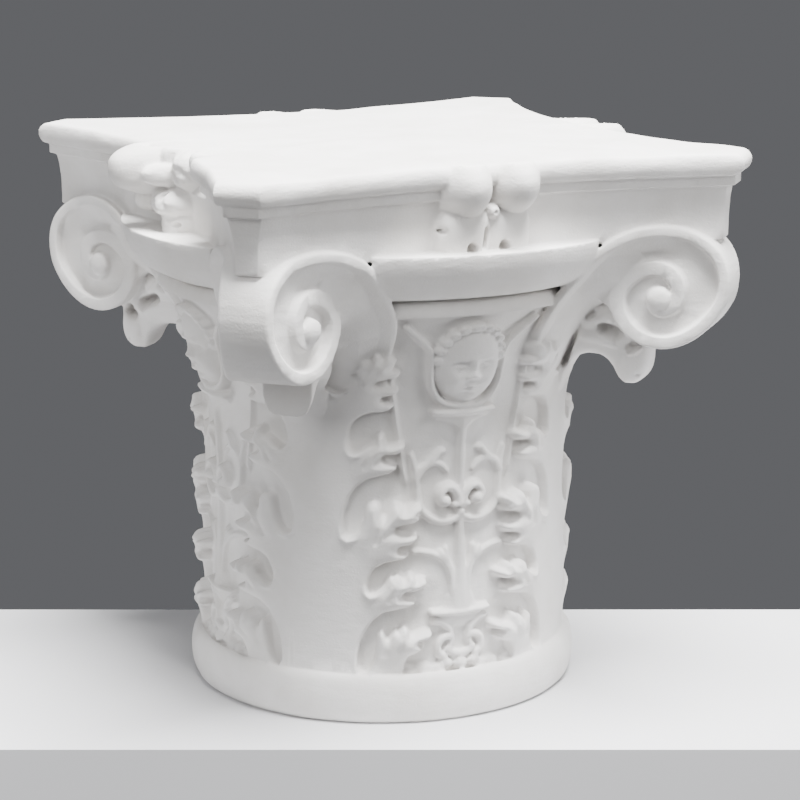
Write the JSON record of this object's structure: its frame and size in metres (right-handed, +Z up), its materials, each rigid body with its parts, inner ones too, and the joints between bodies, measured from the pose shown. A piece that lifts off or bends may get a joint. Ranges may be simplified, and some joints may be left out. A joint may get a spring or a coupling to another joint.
{
  "type": "composite capital",
  "caption": "Carved capital cast in white plaster: bell with leaves and candelabra in relief, corner volutes, round echinus, hollow-sided abacus with fleurons",
  "frame": {"origin": "middle of the round underside of the ring, on the plane the capital stands on", "axes": "+Z up along the column's axis; the abacus has its hollow sides to +X, -X, +Y and -Y and its corners, with the volutes, on the diagonals; the side with the whole fleuron seen square on in the picture is -Y"},
  "size_m": [0.403, 0.403, 0.4],
  "materials": {
    "plaster": "matt white plaster, unpainted, with faint tool marks and fine pits"
  },
  "bodies": {
    "root": {"capital": "plaster"}
  },
  "joints": []
}
